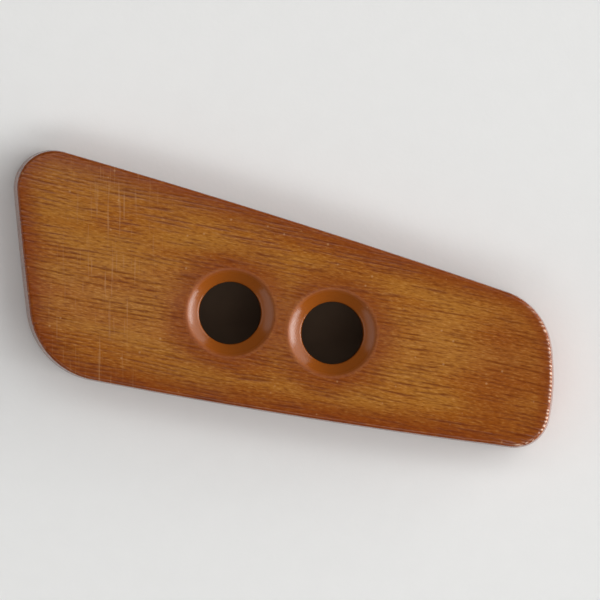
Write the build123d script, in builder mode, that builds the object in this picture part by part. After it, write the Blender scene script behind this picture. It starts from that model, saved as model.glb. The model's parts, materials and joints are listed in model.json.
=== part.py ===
"""A two-hole toggle button, moulded in one piece of dyed plastic with a wood-look face.

The face is a long four-sided shape with bowed sides and round corners, wider at one end.
It is slightly crowned. The back is flat and lies on the garment. Each thread hole runs
straight through and opens into a shallow round dish in the face.

Millimetres and degrees. The origin is on the back face, midway between the thread holes.
+X runs along the hole line to the narrow end, +Y to the upper side and +Z out of the face.
"""

import os
from math import asin, degrees, radians, tan

from build123d import *

os.makedirs("parts", exist_ok=True)

# Outline of the back before its corners are rounded. Each end is a leaning line that crosses
# the hole line at its reach. Its corners lie this far above and below the hole line.
wide_end_reach = 18.5
wide_end_lean = 17.0
wide_end_above = 9.3
wide_end_below = 6.55
narrow_end_reach = 18.85
narrow_end_lean = 10.6
narrow_end_above = 4.9
narrow_end_below = 5.4

# How far each side bows out from the straight line between its corners.
wide_end_bow = 0.15
upper_side_bow = 0.3
narrow_end_bow = 0.9
lower_side_bow = 0.35

# Corner radii, seen from the face.
wide_upper_radius = 2.7
wide_lower_radius = 5.6
narrow_upper_radius = 4.75
narrow_lower_radius = 2.5

# Section. The long sides and the ends draw in towards the face, the ends by more.
thickness = 5.0
side_draft = 1.0
end_draft = 3.4
crown_radius_along = 400.0
crown_radius_across = 80.0
face_edge_radius = 0.2
back_edge_radius = 0.35

# Thread holes, each with a dish in the face, and the small radii on their edges. The dishes are
# made narrower where their full width would leave less than the least land between them.
hole_pitch = 7.35
hole_diameter = 4.4
dish_diameter = 6.3
least_land = 0.9
dish_depth = 0.65
dish_rim_radius = 0.3
dish_floor_radius = 0.15
hole_lip_radius = 0.3


def end_corner(reach, lean, side_height):
    """The sharp corner where an end's leaning line meets a height from the hole line."""
    return (reach - side_height * tan(radians(lean)), side_height)


wide_upper = end_corner(-wide_end_reach, wide_end_lean, wide_end_above)
wide_lower = end_corner(-wide_end_reach, wide_end_lean, -wide_end_below)
narrow_upper = end_corner(narrow_end_reach, narrow_end_lean, narrow_end_above)
narrow_lower = end_corner(narrow_end_reach, narrow_end_lean, -narrow_end_below)
face_inset = thickness * tan(radians(side_draft))
face_shortening = thickness * (tan(radians(end_draft)) - tan(radians(side_draft))) / wide_end_reach

hole_places = [(-hole_pitch / 2, 0), (hole_pitch / 2, 0)]
hole_radius = hole_diameter / 2

# The dish is part of a ball that meets the face at the dish's rim and the hole at its floor.
dish_radius = min(dish_diameter, hole_pitch - least_land) / 2
dish_floor = thickness - dish_depth
ball_height = (thickness**2 - dish_floor**2 + dish_radius**2 - hole_radius**2) / (2 * dish_depth)
ball_radius = (hole_radius**2 + (ball_height - dish_floor) ** 2) ** 0.5

# The crown is cut by a block that reaches past the outline all round.
crown_half_width = wide_end_above + wide_end_below
crown_half_length = wide_end_reach + crown_half_width
crown_edge_height = thickness - crown_half_width**2 / (2 * crown_radius_across)
crown_sweep = 2 * degrees(asin(crown_half_length / crown_radius_along))
crown_axis = Axis((0, 0, thickness - crown_radius_along), (0, 1, 0))


# The space under the crowned face: an arch across the button, swung along it about a far axis.
with BuildPart() as under_crown:
    with BuildSketch(Plane.YZ) as arch:
        with BuildLine():
            Spline((-crown_half_width, crown_edge_height), (0, thickness), (crown_half_width, crown_edge_height))
            Polyline(
                (crown_half_width, crown_edge_height),
                (crown_half_width, -thickness),
                (-crown_half_width, -thickness),
                (-crown_half_width, crown_edge_height),
            )
        make_face()
    revolve(axis=crown_axis, revolution_arc=crown_sweep)

centred_crown = under_crown.part.rotate(crown_axis, -crown_sweep / 2)


with BuildPart() as button:
    with BuildSketch(Plane.XY) as back_outline:
        with BuildLine():
            SagittaArc(wide_lower, wide_upper, wide_end_bow)
            SagittaArc(wide_upper, narrow_upper, upper_side_bow)
            SagittaArc(narrow_upper, narrow_lower, narrow_end_bow)
            SagittaArc(narrow_lower, wide_lower, lower_side_bow)
        make_face()
        fillet(back_outline.vertices().sort_by_distance(wide_upper)[0], wide_upper_radius)
        fillet(back_outline.vertices().sort_by_distance(wide_lower)[0], wide_lower_radius)
        fillet(back_outline.vertices().sort_by_distance(narrow_upper)[0], narrow_upper_radius)
        fillet(back_outline.vertices().sort_by_distance(narrow_lower)[0], narrow_lower_radius)
    with BuildSketch(Plane.XY.offset(thickness)) as face_outline:
        add(back_outline.sketch)
        offset(amount=-face_inset, kind=Kind.INTERSECTION)
        scale(by=(1 - face_shortening, 1, 1))
    loft(ruled=True)
    add(centred_crown, mode=Mode.INTERSECT)

    # Edge roundings all round the face and the back.
    fillet(button.faces().sort_by(Axis.Z)[-1].edges(), face_edge_radius)
    fillet(button.faces().sort_by(Axis.Z)[0].edges(), back_edge_radius)

    # Thread holes, their lips at the back and their dishes.
    with Locations(*hole_places):
        Hole(hole_radius)
    fillet(button.faces().sort_by(Axis.Z)[0].inner_wires().edges(), hole_lip_radius)
    with Locations(*[(x, y, ball_height) for x, y in hole_places]):
        Sphere(ball_radius, mode=Mode.SUBTRACT)
    fillet(button.faces().filter_by(GeomType.SPHERE).edges().group_by(Axis.Z)[0], dish_floor_radius)
    fillet(button.faces().filter_by(GeomType.SPHERE).edges().filter_by(GeomType.BSPLINE), dish_rim_radius)

button.part.label = "button"
export_step(button.part, "parts/button.step")
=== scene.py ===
"""Looks for a two-hole toggle button: a dyed, wood-look moulding with a fine grain cut into its face.

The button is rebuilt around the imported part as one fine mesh, so that the grain is real relief.
Sizes are in millimetres until the finished mesh is brought to metres.
"""

import json
from math import atan, atan2, ceil, cos, hypot, pi, radians, sin, sqrt, tan

import bmesh
import bpy
from mathutils import Matrix, Vector, noise
from mathutils.geometry import intersect_sphere_sphere_2d


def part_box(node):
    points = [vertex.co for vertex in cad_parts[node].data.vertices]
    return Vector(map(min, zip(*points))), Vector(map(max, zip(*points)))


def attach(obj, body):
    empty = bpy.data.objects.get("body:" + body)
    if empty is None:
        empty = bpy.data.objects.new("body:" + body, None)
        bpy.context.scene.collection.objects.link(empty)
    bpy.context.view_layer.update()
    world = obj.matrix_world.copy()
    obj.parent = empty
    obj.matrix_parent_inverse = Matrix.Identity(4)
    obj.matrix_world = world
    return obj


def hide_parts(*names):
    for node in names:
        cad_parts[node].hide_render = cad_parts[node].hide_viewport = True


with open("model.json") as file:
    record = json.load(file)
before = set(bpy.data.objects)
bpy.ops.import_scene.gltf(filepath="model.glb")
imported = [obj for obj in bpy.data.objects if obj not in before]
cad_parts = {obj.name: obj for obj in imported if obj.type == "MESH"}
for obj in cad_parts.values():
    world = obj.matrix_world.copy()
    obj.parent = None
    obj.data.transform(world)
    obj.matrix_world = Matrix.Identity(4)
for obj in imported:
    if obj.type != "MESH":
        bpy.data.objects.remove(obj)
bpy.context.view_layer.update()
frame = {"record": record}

MM = 0.001
UP = Vector((0, 0, 1))

mounts = {mount["name"]: mount for mount in frame["record"]["mounts"]}
hole_mounts = [mounts["thread_hole_wide_end"], mounts["thread_hole_narrow_end"]]
hole_centres = [Vector(mount["pos_m"][:2]) / MM for mount in hole_mounts]
hole_radius = hole_mounts[0]["dims"]["r_mm"]
thickness = (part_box("button")[1].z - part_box("button")[0].z) / MM

# The back outline: leaning ends, bowed sides and round corners, clockwise from the wide lower corner.
wide_end_reach, wide_end_lean, wide_end_above, wide_end_below = 18.5, 17.0, 9.3, 6.55
narrow_end_reach, narrow_end_lean, narrow_end_above, narrow_end_below = 18.85, 10.6, 4.9, 5.4
side_bows = [0.15, 0.3, 0.9, 0.35]
corner_radii = [5.6, 2.7, 4.75, 2.5]

# The section through an edge, the crown of the face, and the dishes.
side_draft = radians(1.0)
end_draft = radians(3.4)
face_edge_radius = 0.2
back_edge_radius = 0.35
crown_radius_along = 400.0
crown_radius_across = 80.0
dish_radius = 3.15
dish_depth = 0.65
dish_rim_radius = 0.3
dish_floor_radius = 0.15
hole_lip_radius = 0.3

# How finely the mesh is cut.
grain_slice = 0.047
cross_slice = 0.36
outline_step = 0.4
outline_turn = radians(4)
dish_segments = 144
dish_rim_steps = 8
dish_wall_steps = 8
dish_floor_steps = 4
hole_lip_steps = 4
face_edge_rings = 7
wall_rings = 24
back_edge_rings = 4
weld_distance = 0.006
slice_tolerance = 0.0001
flat_angle = 0.01
arc_slack = 0.02
dish_loop_margin = 0.2

# The grain: how deep it is cut, how far apart its lines are and how long they run.
groove_depth = 0.007
edge_groove_depth = 0.022
line_spacing = 0.285
line_length = 2.8

# Cells (along, across) of the noises that make the lines wander, break up, fray and bunch.
wander_reach = 0.3
wander_cell = (9.0, 2.5)
dash_cell = (line_length, line_spacing * 0.6)
fray_cell, fray_shift = (0.5, 0.12), 40
bunch_cell, bunch_shift = (4.0, 1.6), 80

# Bands over which the skin changes, by how far a point is from a dish's rim, outwards.
polish_band = (-0.25, -0.05)
dull_from_band, dull_to_band = (-0.35, -0.15), (0.0, 0.1)
grain_from_band = (0.0, 0.08)
dish_tint_band = (0.0, 2.4)

# Bands by how far a point is drawn in from the back outline.
edge_tint_band = (0.1, 2.4)
deep_grain_band = (0.1, 0.7)
# The next line's bands place a painted highlight on the narrow end's edge.
painted_highlight_from_band, painted_highlight_to_band = (0.08, 0.14), (0.20, 0.32)

# Bands by height above the back, and by place along the button.
grain_height_band = (0.5, 1.2)
narrow_end_tint_band = (12.0, 16.0)
# The next line's band places the painted highlight towards the narrow end.
painted_highlight_end_band = (16.0, 19.0)
deep_grain_end_band = (14.0, 17.0)

# How strong the rim's darker, redder colour is round the dishes and at the narrow end, against 1 at the
# edge.
dish_tint_share, narrow_end_tint_share = 0.8, 0.55


# Outline -----------------------------------------------------------------------------------


def end_corner(reach, lean, height):
    """The sharp corner where an end's leaning line meets a height from the hole line."""
    return Vector((reach - height * tan(radians(lean)), height))


def heading(vector):
    """The angle of a plan vector."""
    return atan2(vector.y, vector.x)


def turn_between(start, end):
    """The shorter turn from one plan angle to another."""
    return (end - start + pi) % (2 * pi) - pi


def outline_arcs():
    """The outline as arcs, clockwise: (centre, radius, first angle, turn). All of them bow outwards."""
    corners = [
        end_corner(-wide_end_reach, wide_end_lean, -wide_end_below),
        end_corner(-wide_end_reach, wide_end_lean, wide_end_above),
        end_corner(narrow_end_reach, narrow_end_lean, narrow_end_above),
        end_corner(narrow_end_reach, narrow_end_lean, -narrow_end_below),
    ]
    sides = []
    for index, bow in enumerate(side_bows):
        start, end = corners[index], corners[(index + 1) % 4]
        chord = end - start
        radius = ((chord.length / 2) ** 2 + bow**2) / (2 * bow)
        outward = Vector((-chord.y, chord.x)).normalized()
        sides.append(((start + end) / 2 + outward * (bow - radius), radius))
    rounds = []
    for index, radius in enumerate(corner_radii):
        (before, before_radius), (after, after_radius) = sides[index - 1], sides[index]
        centres = intersect_sphere_sphere_2d(before, before_radius - radius, after, after_radius - radius)
        rounds.append(min(centres, key=lambda centre: (centre - corners[index]).length))
    arcs = []
    for index in range(4):
        centre, following = rounds[index], rounds[(index + 1) % 4]
        side_centre, side_radius = sides[index]
        first = heading(centre - sides[index - 1][0])
        middle = heading(centre - side_centre)
        last = heading(following - side_centre)
        arcs.append((centre, corner_radii[index], first, turn_between(first, middle)))
        arcs.append((side_centre, side_radius, middle, turn_between(middle, last)))
    return arcs


arcs = outline_arcs()
rim_inset = face_edge_radius * (1 - sin(side_draft)) / cos(side_draft) + thickness * tan(side_draft)
shortening = (tan(end_draft) - tan(side_draft)) / wide_end_reach


def drawn_in(x, height):
    """Where a lengthwise place comes to at a height, as the ends draw in by more than the sides do."""
    return x * (1 - shortening * height)


def place_on_outline(point):
    """The outline arc that a plan point belongs to: its centre, radius and the outward direction."""
    found = []
    x, y, height = point
    for centre, radius, first, turn in arcs:
        spoke = Vector((x / (1 - shortening * height), y)) - centre
        past = turn_between(first, heading(spoke)) / turn
        if -arc_slack <= past <= 1 + arc_slack:
            found.append((abs(spoke.length - radius), centre, radius, spoke.normalized()))
    return min(found, key=lambda place: place[0])[1:]


# Surface heights ---------------------------------------------------------------------------


def face_height(x, y):
    """The crowned face."""
    return thickness - x**2 / (2 * crown_radius_along) - y**2 / (2 * crown_radius_across)


def edge_section(point):
    """Points (inset, height) down the side at a plan point: face rounding, drafted wall, back rounding."""
    centre, radius, outward = place_on_outline(point)
    inner = centre + outward * (radius - rim_inset)
    top = face_height(drawn_in(inner.x, thickness), inner.y)
    slope = atan(inner.x * outward.x / crown_radius_along + inner.y * outward.y / crown_radius_across)
    edge = (rim_inset - top * tan(side_draft)) * cos(side_draft) / (1 - sin(slope + side_draft))
    edge_inset, edge_height = rim_inset + edge * sin(slope), top - edge * cos(slope)
    section = []
    for step in range(1, face_edge_rings + 1):
        angle = pi / 2 + slope + (pi / 2 - side_draft - slope) * step / face_edge_rings
        section.append((edge_inset + edge * cos(angle), edge_height + edge * sin(angle)))
    wall_top, wall_foot = section[-1][1], back_edge_radius * (1 + sin(side_draft))
    for step in range(1, wall_rings + 1):
        height = wall_top + (wall_foot - wall_top) * step / wall_rings
        section.append((height * tan(side_draft), height))
    back_inset = back_edge_radius * (1 / cos(side_draft) + tan(side_draft))
    for step in range(1, back_edge_rings + 1):
        angle = pi - side_draft + (pi / 2 + side_draft) * step / back_edge_rings
        section.append((back_inset + back_edge_radius * cos(angle), back_edge_radius * (1 + sin(angle))))
    return centre, radius, outward, section


def arc_points(centre_out, centre_up, radius, first, last, steps):
    """Points (radius from the hole's axis, height) along one arc of a hole's section."""
    angles = [first + (last - first) * step / steps for step in range(steps + 1)]
    return [(centre_out + radius * cos(angle), centre_up + radius * sin(angle)) for angle in angles]


def hole_section(face_here):
    """A hole's section down from the face's height there: rim rounding, dish, floor rounding, wall, lip."""
    floor = thickness - dish_depth
    ball_height = (thickness**2 - floor**2 + dish_radius**2 - hole_radius**2) / (2 * dish_depth)
    ball_radius = hypot(hole_radius, ball_height - floor)
    rim_height = face_here - dish_rim_radius
    rim_out = sqrt((ball_radius + dish_rim_radius) ** 2 - (ball_height - rim_height) ** 2)
    rim_angle = atan2(ball_height - rim_height, -rim_out)
    foot_out = hole_radius + dish_floor_radius
    foot_height = ball_height - sqrt((ball_radius + dish_floor_radius) ** 2 - foot_out**2)
    foot_angle = atan2(ball_height - foot_height, -foot_out)
    section = arc_points(rim_out, rim_height, dish_rim_radius, pi / 2, rim_angle, dish_rim_steps)
    dish = arc_points(0, ball_height, ball_radius, rim_angle - pi, foot_angle - pi, dish_wall_steps)
    foot = arc_points(foot_out, foot_height, dish_floor_radius, foot_angle, pi, dish_floor_steps)
    lip_out = hole_radius + hole_lip_radius
    lip = arc_points(lip_out, hole_lip_radius, hole_lip_radius, pi, 1.5 * pi, hole_lip_steps)
    return section + dish[1:] + foot[1:] + lip


def section_towards(centre, spoke):
    """The section of one hole in one direction from its axis, where the crown sets the face's height."""
    section = hole_section(thickness)
    rim = centre + spoke * section[0][0]
    return hole_section(face_height(rim.x, rim.y))


# The mesh ----------------------------------------------------------------------------------


def draw_outline(mesh, inset):
    """Edges round the outline, drawn in from it by the inset: one spun arc after another."""
    for centre, radius, first, turn in arcs:
        reach = radius - inset
        start = mesh.verts.new((centre.x + reach * cos(first), centre.y + reach * sin(first), 0))
        steps = ceil(max(abs(turn) / outline_turn, abs(turn) * reach / outline_step))
        bmesh.ops.spin(mesh, geom=[start], cent=(centre.x, centre.y, 0), axis=UP, dvec=(0, 0, 0),
                       angle=turn, steps=steps, use_merge=False, use_duplicate=False)
    bmesh.ops.remove_doubles(mesh, verts=mesh.verts[:], dist=weld_distance)


def slice_face(mesh, normal, low, high, spacing):
    """Cuts the whole mesh by parallel planes."""
    count = ceil((high - low) / spacing)
    for step in range(1, count):
        place = normal * (low + (high - low) * step / count)
        geometry = mesh.verts[:] + mesh.edges[:] + mesh.faces[:]
        bmesh.ops.bisect_plane(mesh, geom=geometry, dist=slice_tolerance, plane_co=place, plane_no=normal)


def draw_down(mesh, edges, move):
    """Extrudes a loop of edges and moves the new points. Returns the new loop."""
    made = bmesh.ops.extrude_edge_only(mesh, edges=edges)["geom"]
    for vert in (item for item in made if isinstance(item, bmesh.types.BMVert)):
        vert.co = move(vert.co)
    return [item for item in made if isinstance(item, bmesh.types.BMEdge)]


def hole_of(point):
    """The hole centre nearest to a plan point."""
    return min(hole_centres, key=lambda centre: (Vector((point[0], point[1])) - centre).length)


def draw_face(mesh):
    """The face as a finely sliced sheet. Returns its outer loop and each dish's loop, as edges."""
    rim_out = hole_section(thickness)[0][0]
    draw_outline(mesh, rim_inset)
    for vert in mesh.verts:
        vert.co.x = drawn_in(vert.co.x, thickness)
    for centre in hole_centres:
        ring = bmesh.ops.create_circle(mesh, cap_ends=False, radius=rim_out, segments=dish_segments,
                                       matrix=Matrix.Translation((centre.x, centre.y, 0)))
        for vert in ring["verts"]:
            spoke = (vert.co.xy - centre).normalized()
            vert.co.xy = centre + spoke * section_towards(centre, spoke)[0][0]
    bmesh.ops.triangle_fill(mesh, use_beauty=True, edges=mesh.edges[:], normal=UP)
    inside = [edge for edge in mesh.edges if not edge.is_boundary]
    bmesh.ops.dissolve_limit(mesh, angle_limit=flat_angle, edges=inside, verts=[])

    low = Vector(min(vert.co[axis] for vert in mesh.verts) for axis in range(3))
    high = Vector(max(vert.co[axis] for vert in mesh.verts) for axis in range(3))
    slice_face(mesh, Vector((0, 1, 0)), low.y, high.y, grain_slice)
    slice_face(mesh, Vector((1, 0, 0)), low.x, high.x, cross_slice)
    bmesh.ops.remove_doubles(mesh, verts=mesh.verts[:], dist=weld_distance)

    rims = {tuple(centre): [] for centre in hole_centres}
    outer = []
    for edge in [edge for edge in mesh.edges if edge.is_boundary]:
        middle = (edge.verts[0].co + edge.verts[1].co) / 2
        centre = hole_of(middle)
        if (middle.xy - centre).length < rim_out + dish_loop_margin:
            rims[tuple(centre)].append(edge)
        else:
            outer.append(edge)

    # Loop points that a slice made sit on chords, so they are brought out to the true curves.
    for vert in {vert for edge in outer for vert in edge.verts}:
        centre, radius, outward = place_on_outline((vert.co.x, vert.co.y, thickness))
        brought_out = centre + outward * (radius - rim_inset)
        vert.co.xy = drawn_in(brought_out.x, thickness), brought_out.y
    for centre, edges in rims.items():
        for vert in {vert for edge in edges for vert in edge.verts}:
            spoke = (vert.co.xy - Vector(centre)).normalized()
            vert.co.xy = Vector(centre) + spoke * section_towards(Vector(centre), spoke)[0][0]
    for vert in mesh.verts:
        vert.co.z = face_height(vert.co.x, vert.co.y)
    return outer, rims


def draw_side(mesh, edges):
    """The side, from the face's outer loop down to the back."""
    for step in range(face_edge_rings + wall_rings + back_edge_rings):
        def down_the_side(point):
            centre, radius, outward, section = edge_section(point)
            inset, height = section[step]
            moved = centre + outward * (radius - inset)
            return Vector((drawn_in(moved.x, height), moved.y, height))
        edges = draw_down(mesh, edges, down_the_side)


def draw_hole(mesh, centre, edges):
    """A dish and its hole, from the dish's loop down to the back."""
    for step in range(1, len(hole_section(thickness))):
        def down_the_hole(point):
            spoke = (point.xy - centre).normalized()
            out, height = section_towards(centre, spoke)[step]
            return Vector((*(centre + spoke * out), height))
        edges = draw_down(mesh, edges, down_the_hole)


def model_button():
    """The whole skin of the button, with no grain yet."""
    mesh = bmesh.new()
    outer, rims = draw_face(mesh)
    draw_side(mesh, outer)
    for centre, edges in rims.items():
        draw_hole(mesh, Vector(centre), edges)
    back = [edge for edge in mesh.edges if edge.is_boundary]
    bmesh.ops.triangle_fill(mesh, use_beauty=True, edges=back, normal=-UP)
    bmesh.ops.recalc_face_normals(mesh, faces=mesh.faces[:])
    return mesh


# Grain -------------------------------------------------------------------------------------


def smooth_step(low, high, value):
    """0 below the low value, 1 above the high one and a smooth rise between."""
    share = min(1, max(0, (value - low) / (high - low)))
    return share * share * (3 - 2 * share)


def skin_noise(along, across, cell, shift=0):
    """Noise on the skin, in cells of a given length and width."""
    return noise.noise(Vector((along / cell[0] + shift, across / cell[1], 0)))


def grain(point, normal):
    """How deep the grain is: 0 on the ridges, 1 in a line. It runs lengthwise on the face and long sides."""
    x, y, z = point
    across = y + wander_reach * skin_noise(x, y, wander_cell) + (thickness - z) * abs(normal.y)
    rows = cos(2 * pi * across / line_spacing)
    dashes = skin_noise(x, across, dash_cell)
    frays = skin_noise(x, across, fray_cell, fray_shift)
    bunches = skin_noise(x, across, bunch_cell, bunch_shift)
    return smooth_step(0.0, 0.9, 0.4 * rows + 1.1 * dashes + 0.6 * frays + 0.4 * bunches)


def painted_bead_row(y):
    """Where the painted highlight sits on a ridge of the narrow end's edge: uneven beads, with some of them
    missing.
    """
    uneven = y + 0.12 * noise.noise(Vector((0, y / 0.5, 0)))
    bead = smooth_step(-0.2, 0.6, -cos(2 * pi * uneven / line_spacing))
    return bead * smooth_step(-0.45, 0.1, noise.noise(Vector((0, y / 0.6, 5))))


def skin_at(point, normal):
    """What the skin is like at a point, as named shares from 0 to 1, and how deep its grain is cut."""
    x, y, z = point
    hole = hole_of(point)
    spoke = (point.xy - hole).normalized()
    from_dish = (point.xy - hole).length - section_towards(hole, spoke)[0][0]
    centre, radius = place_on_outline(point)[:2]
    inset = radius - (Vector((x / (1 - shortening * z), y)) - centre).length

    cut = smooth_step(*grain_from_band, from_dish) * smooth_step(*grain_height_band, z)
    groove = cut * grain(point, normal)
    # Darker and redder towards the edge, round the dishes and towards the narrow end.
    edge_tint = 1 - smooth_step(*edge_tint_band, inset)
    dish_tint = dish_tint_share * (1 - smooth_step(*dish_tint_band, from_dish))
    narrow_end_tint = narrow_end_tint_share * smooth_step(*narrow_end_tint_band, x)
    # Painted highlight: pale beads on the ridges of the narrow end's edge, where light glints.
    painted_highlight = smooth_step(*painted_highlight_from_band, inset) * (1 - smooth_step(*painted_highlight_to_band, inset))
    painted_highlight *= cut * (1 - groove) * smooth_step(*painted_highlight_end_band, x)
    skin = {
        "groove": groove,
        "polish": 1 - smooth_step(*polish_band, from_dish),
        "rim": max(edge_tint, dish_tint, narrow_end_tint),
        "dull": smooth_step(*dull_from_band, from_dish) * (1 - smooth_step(*dull_to_band, from_dish)),
        "bead_highlight": painted_highlight * painted_bead_row(y),
    }
    by_an_end = (1 - smooth_step(*deep_grain_band, inset)) * smooth_step(*deep_grain_end_band, abs(x))
    return skin, groove * (groove_depth + (edge_groove_depth - groove_depth) * by_an_end)


def cut_grain(mesh):
    """Sinks the grain into the face and sides, and records at each point what the skin is like."""
    names = ("groove", "polish", "rim", "dull", "bead_highlight")
    layers = {name: mesh.verts.layers.float.new(name) for name in names}
    mesh.normal_update()
    depths = {}
    for vert in mesh.verts:
        skin, depths[vert] = skin_at(vert.co, vert.normal)
        for name, layer in layers.items():
            vert[layer] = skin[name]
    for vert, depth in depths.items():
        vert.co -= vert.normal * depth


def finish_piece(mesh, name):
    """Brings a mesh to metres and makes it an object, smooth shaded."""
    bmesh.ops.scale(mesh, vec=(MM, MM, MM), verts=mesh.verts[:])
    data = bpy.data.meshes.new(name)
    mesh.to_mesh(data)
    mesh.free()
    data.shade_smooth()
    piece = bpy.data.objects.new(name, data)
    bpy.context.scene.collection.objects.link(piece)
    return piece


# Materials ---------------------------------------------------------------------------------


def add_node(tree, kind, inputs=None, **settings):
    """A node with its settings, and its inputs set to values or linked to other nodes' outputs."""
    made = tree.nodes.new(kind)
    for name, value in settings.items():
        setattr(made, name, value)
    for name, value in (inputs or {}).items():
        if isinstance(value, bpy.types.NodeSocket):
            tree.links.new(value, made.inputs[name])
        else:
            made.inputs[name].default_value = value
    return made


def mix_colours(tree, share, first, second, blend="MIX"):
    """Goes from the first colour to the second by a share."""
    inputs = {0: share, 6: first, 7: second}
    return add_node(tree, "ShaderNodeMix", inputs, data_type="RGBA", blend_type=blend).outputs[2]


def combine(tree, operation, first, second):
    """One sum, product or the like of two values."""
    return add_node(tree, "ShaderNodeMath", {0: first, 1: second}, operation=operation).outputs[0]


def rescale(tree, value, low, high, start=0.0, end=1.0):
    """A smooth step from start to end, as the value goes from low to high."""
    inputs = {"Value": value, "From Min": low, "From Max": high, "To Min": start, "To Max": end}
    return add_node(tree, "ShaderNodeMapRange", inputs, interpolation_type="SMOOTHSTEP").outputs[0]


def stretched_noise(tree, coordinates, cells, turn=0.0, detail=2.0, roughness=0.5):
    """Noise with so many cells to the millimetre along each axis, turned about Z."""
    turned = add_node(tree, "ShaderNodeMapping", {"Vector": coordinates, "Rotation": (0, 0, turn)})
    per_metre = tuple(count / MM for count in cells)
    scaled = add_node(tree, "ShaderNodeMapping", {"Vector": turned.outputs[0], "Scale": per_metre})
    inputs = {"Vector": scaled.outputs[0], "Scale": 1.0, "Detail": detail, "Roughness": roughness}
    return add_node(tree, "ShaderNodeTexNoise", inputs).outputs[0]


def attribute(tree, name):
    """A value that the mesh carries."""
    return add_node(tree, "ShaderNodeAttribute", attribute_name=name).outputs["Fac"]


def new_material(name):
    """An empty node material: its tree, its shader and object coordinates."""
    material = bpy.data.materials.new(name)
    material.use_nodes = True
    tree = material.node_tree
    shader = tree.nodes["Principled BSDF"]
    coordinates = tree.nodes.new("ShaderNodeTexCoord").outputs["Object"]
    return material, tree, shader, coordinates


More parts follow.
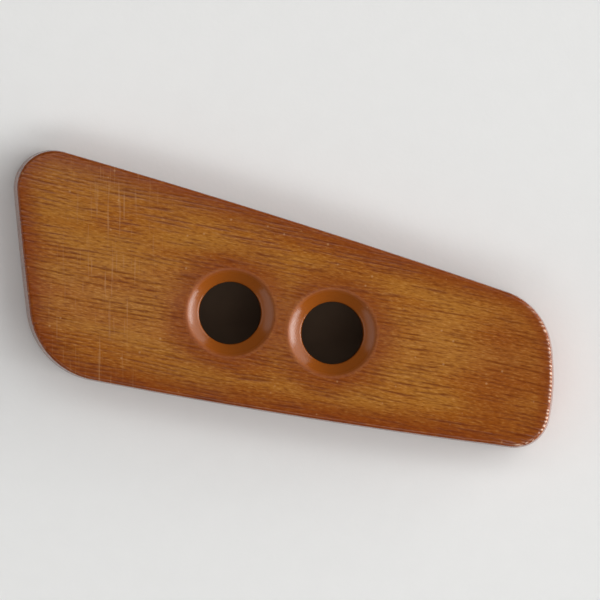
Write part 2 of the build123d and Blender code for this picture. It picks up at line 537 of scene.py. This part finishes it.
def dyed_plastic():
    """Satin plastic dyed caramel: redder at the rim, dark in the grain, scuffed, with a painted highlight at
    one edge.
    """
    material, tree, shader, place = new_material("dyed_wood_look_plastic")
    golden, russet = (0.385, 0.146, 0.018, 1), (0.325, 0.097, 0.007, 1)
    pale_fibre, line_dye = (0.56, 0.26, 0.060, 1), (0.125, 0.020, 0.001, 1)
    rim_tint, dish_tint = (0.210, 0.037, 0.002, 1), (0.250, 0.062, 0.005, 1)
    # The first colour on the next line is a painted highlight, for the beads on the narrow end's edge.
    painted_highlight, scuff, speck = (0.85, 0.62, 0.46, 1), (0.46, 0.23, 0.09, 1), (0.60, 0.34, 0.15, 1)
    rim_share, stain_share, scuff_share, speck_share, painted_highlight_share = 0.9, 0.78, 0.42, 0.35, 0.8
    face_height_band = (3.7 * MM, 4.1 * MM)
    scuffs_from_band, scuffs_to_band = (-17.5 * MM, -14.0 * MM), (-8.0 * MM, -12.0 * MM)
    scuff_turn, specks_per_mm = radians(-11), 0.9

    names = ("groove", "polish", "rim", "dull", "bead_highlight")
    groove, polish, rim, dull, bead_highlight = (attribute(tree, name) for name in names)
    bare = combine(tree, "SUBTRACT", 1.0, polish)

    # Broad patches, redder by the rim, then fine fibres along the grain.
    patches = rescale(tree, stretched_noise(tree, place, (0.12, 0.4, 0.4), detail=3), 0.35, 0.65)
    colour = mix_colours(tree, patches, golden, russet)
    colour = mix_colours(tree, combine(tree, "MULTIPLY", rim, rim_share), colour, rim_tint)
    fibres = stretched_noise(tree, place, (0.5, 7.0, 7.0), detail=3, roughness=0.6)
    dark_fibres = combine(tree, "MULTIPLY", rescale(tree, fibres, 0.50, 0.72, 0.0, 0.35), bare)
    colour = mix_colours(tree, dark_fibres, colour, line_dye)
    flecks = stretched_noise(tree, place, (2.6, 12.0, 12.0), detail=2)
    dark_flecks = combine(tree, "MULTIPLY", rescale(tree, flecks, 0.50, 0.75, 0.0, 0.55), bare)
    colour = mix_colours(tree, dark_flecks, colour, line_dye)
    from_rim = combine(tree, "MULTIPLY", bare, rescale(tree, rim, 0.0, 1.0, 1.0, 0.35))
    pale_flecks = combine(tree, "MULTIPLY", rescale(tree, flecks, 0.50, 0.25, 0.0, 0.5), from_rim)
    colour = mix_colours(tree, pale_flecks, colour, pale_fibre)

    # The dye gathers in the grain.
    pores = stretched_noise(tree, place, (1.2, 9.0, 9.0), detail=2)
    stain = combine(tree, "MULTIPLY", groove, rescale(tree, pores, 0.3, 0.6, 0.45, 1.0))
    colour = mix_colours(tree, combine(tree, "MULTIPLY", stain, stain_share), colour, line_dye)
    colour = mix_colours(tree, polish, colour, dish_tint)

    # Scuffs across the grain at the wide end and a few pale specks, on the face only.
    axes = add_node(tree, "ShaderNodeSeparateXYZ", {0: place})
    on_the_face = combine(tree, "MULTIPLY", bare, rescale(tree, axes.outputs[2], *face_height_band))
    scuffs = rescale(tree, stretched_noise(tree, place, (6.5, 0.3, 0.5), turn=scuff_turn), 0.57, 0.74)
    scuffed_area = combine(
        tree, "MULTIPLY",
        rescale(tree, axes.outputs[0], *scuffs_from_band),
        rescale(tree, axes.outputs[0], *scuffs_to_band),
    )
    scuffs = combine(tree, "MULTIPLY", combine(tree, "MULTIPLY", scuffs, scuffed_area), on_the_face)
    colour = mix_colours(tree, combine(tree, "MULTIPLY", scuffs, scuff_share), colour, scuff)
    spots = add_node(tree, "ShaderNodeTexVoronoi", {"Vector": place, "Scale": specks_per_mm / MM})
    specks = combine(tree, "MULTIPLY", rescale(tree, spots.outputs["Distance"], 0.10, 0.04), on_the_face)
    colour = mix_colours(tree, combine(tree, "MULTIPLY", specks, speck_share), colour, speck)

    # A painted highlight: pale beads on the ridges where they cross the narrow end's edge, standing in for
    # glints of light.
    colour = mix_colours(tree, combine(tree, "MULTIPLY", bead_highlight, painted_highlight_share), colour, painted_highlight)

    # Satin on the grained skin, a little duller in the dishes and dullest round their rims.
    blotches = stretched_noise(tree, place, (1.5, 3.0, 3.0), detail=3)
    satin = rescale(tree, blotches, 0.3, 0.7, 0.14, 0.18)
    in_the_dishes = combine(tree, "MULTIPLY", polish, 0.03)
    on_dish_rims = combine(tree, "MULTIPLY", dull, 0.3)
    roughness = combine(tree, "ADD", combine(tree, "ADD", satin, in_the_dishes), on_dish_rims)
    fine_relief = stretched_noise(tree, place, (2.0, 14.0, 14.0), detail=3, roughness=0.6)
    relief = combine(tree, "MULTIPLY", fine_relief, bare)
    bump = add_node(tree, "ShaderNodeBump", {"Height": relief, "Strength": 0.15, "Distance": 0.02 * MM})
    tree.links.new(colour, shader.inputs["Base Color"])
    tree.links.new(roughness, shader.inputs["Roughness"])
    tree.links.new(bump.outputs[0], shader.inputs["Normal"])
    shader.inputs["IOR"].default_value = 1.45
    shader.inputs["Specular IOR Level"].default_value = 0.35
    return material


def plain_card(name, colour, mottle):
    """Matt card, faintly mottled."""
    material, tree, shader, place = new_material(name)
    cloud = stretched_noise(tree, place, (0.6, 0.6, 0.6), detail=4)
    darker = tuple(channel * (1 - mottle) for channel in colour[:3]) + (1,)
    tree.links.new(mix_colours(tree, cloud, darker, colour), shader.inputs["Base Color"])
    fibres = stretched_noise(tree, place, (3.0, 3.0, 3.0), detail=4)
    bump = add_node(tree, "ShaderNodeBump", {"Height": fibres, "Strength": 0.3, "Distance": 0.02 * MM})
    tree.links.new(bump.outputs[0], shader.inputs["Normal"])
    shader.inputs["Roughness"].default_value = 0.9
    shader.inputs["Specular IOR Level"].default_value = 0.2
    return material


# The button --------------------------------------------------------------------------------

skin = model_button()
cut_grain(skin)
button = finish_piece(skin, "toggle_button")
button.data.materials.append(dyed_plastic())
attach(button, "root")
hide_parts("button")


# Table, light and camera -------------------------------------------------------------------

table_size = 6.0
table_drop = 0.0001
card_margin = 0.006
card_width = 0.0065
view_turn = radians(11.02)
view_right = Vector((cos(view_turn), sin(view_turn), 0))
view_up = Vector((-sin(view_turn), cos(view_turn), 0))


def flat_sheet(name, size, centre, material):
    """An oblong of the stage, lying flat."""
    sheet = bmesh.new()
    bmesh.ops.create_grid(sheet, x_segments=1, y_segments=1, size=0.5)
    bmesh.ops.scale(sheet, vec=(*size, 1), verts=sheet.verts[:])
    bmesh.ops.translate(sheet, vec=centre, verts=sheet.verts[:])
    data = bpy.data.meshes.new(name)
    sheet.to_mesh(data)
    sheet.free()
    data.materials.append(material)
    piece = bpy.data.objects.new(name, data)
    bpy.context.scene.collection.objects.link(piece)


table_card = plain_card("table_card", (0.84, 0.84, 0.83, 1), 0.03)
# Painted shade: a dark card under the holes, so the table seen through them looks deep in shade.
painted_shade_card = plain_card("painted_shade_card", (0.090, 0.060, 0.038, 1), 0.2)
card_length = (hole_centres[1] - hole_centres[0]).length * MM + card_margin
flat_sheet("table", (table_size, table_size), (0, 0, -table_drop), table_card)
flat_sheet("painted_shade_under_holes", (card_length, card_width), (0, 0, -table_drop / 2), painted_shade_card)


def softbox(name, bearing, lift, distance, size, power):
    """An oblong area light aimed at the button, by its bearing in the view and its lift, in degrees."""
    level = view_right * cos(radians(bearing)) + view_up * sin(radians(bearing))
    place = (level * cos(radians(lift)) + UP * sin(radians(lift))) * distance
    lamp = bpy.data.lights.new(name, "AREA")
    lamp.shape = "RECTANGLE"
    lamp.size, lamp.size_y = size
    lamp.energy = power
    light = bpy.data.objects.new(name, lamp)
    light.location = place
    light.rotation_euler = place.to_track_quat("Z", "Y").to_euler()
    bpy.context.scene.collection.objects.link(light)


softbox("window_right", bearing=-9, lift=13, distance=0.7, size=(0.62, 0.20), power=4.0)
softbox("window_right_wide", bearing=14, lift=16, distance=0.72, size=(0.9, 0.40), power=3.2)
softbox("fill_left", bearing=185, lift=18, distance=0.7, size=(0.8, 0.30), power=1.0)
softbox("ceiling_right", bearing=355, lift=58, distance=1.0, size=(1.1, 0.6), power=2.4)
softbox("ceiling_upper", bearing=95, lift=68, distance=1.0, size=(1.1, 0.3), power=1.5)
softbox("ceiling_lower", bearing=275, lift=63, distance=1.0, size=(1.1, 0.3), power=2.6)
softbox("sheen_left", bearing=180, lift=86.5, distance=0.9, size=(0.13, 0.16), power=0.055)
softbox("sheen_right", bearing=0, lift=85.5, distance=0.9, size=(0.07, 0.12), power=0.018)

world = bpy.data.worlds.new("studio")
bpy.context.scene.world = world
world.use_nodes = True
world.node_tree.nodes["Background"].inputs["Color"].default_value = (1.0, 0.99, 0.97, 1)
world.node_tree.nodes["Background"].inputs["Strength"].default_value = 0.10

aim = Vector((0.976, 1.838, thickness)) * MM
view_width = 42.29 * MM
camera_distance = 1.0
sensor_width = 36.0
lean_left, lean_down = radians(1.2), radians(0.2)
toward = -view_right * sin(lean_left) - view_up * sin(lean_down) + UP
toward.normalize()
camera = bpy.data.objects.new("camera", bpy.data.cameras.new("camera"))
bpy.context.scene.collection.objects.link(camera)
camera_right = (view_right - toward * view_right.dot(toward)).normalized()
camera_axes = Matrix((camera_right, toward.cross(camera_right), toward)).transposed()
camera.matrix_world = Matrix.Translation(aim + toward * camera_distance) @ camera_axes.to_4x4()
camera.data.sensor_width = sensor_width
camera.data.lens = sensor_width * camera_distance / view_width
camera.data.clip_start, camera.data.clip_end = 0.1, 20.0
bpy.context.scene.camera = camera
bpy.context.scene.view_settings.view_transform = "Standard"
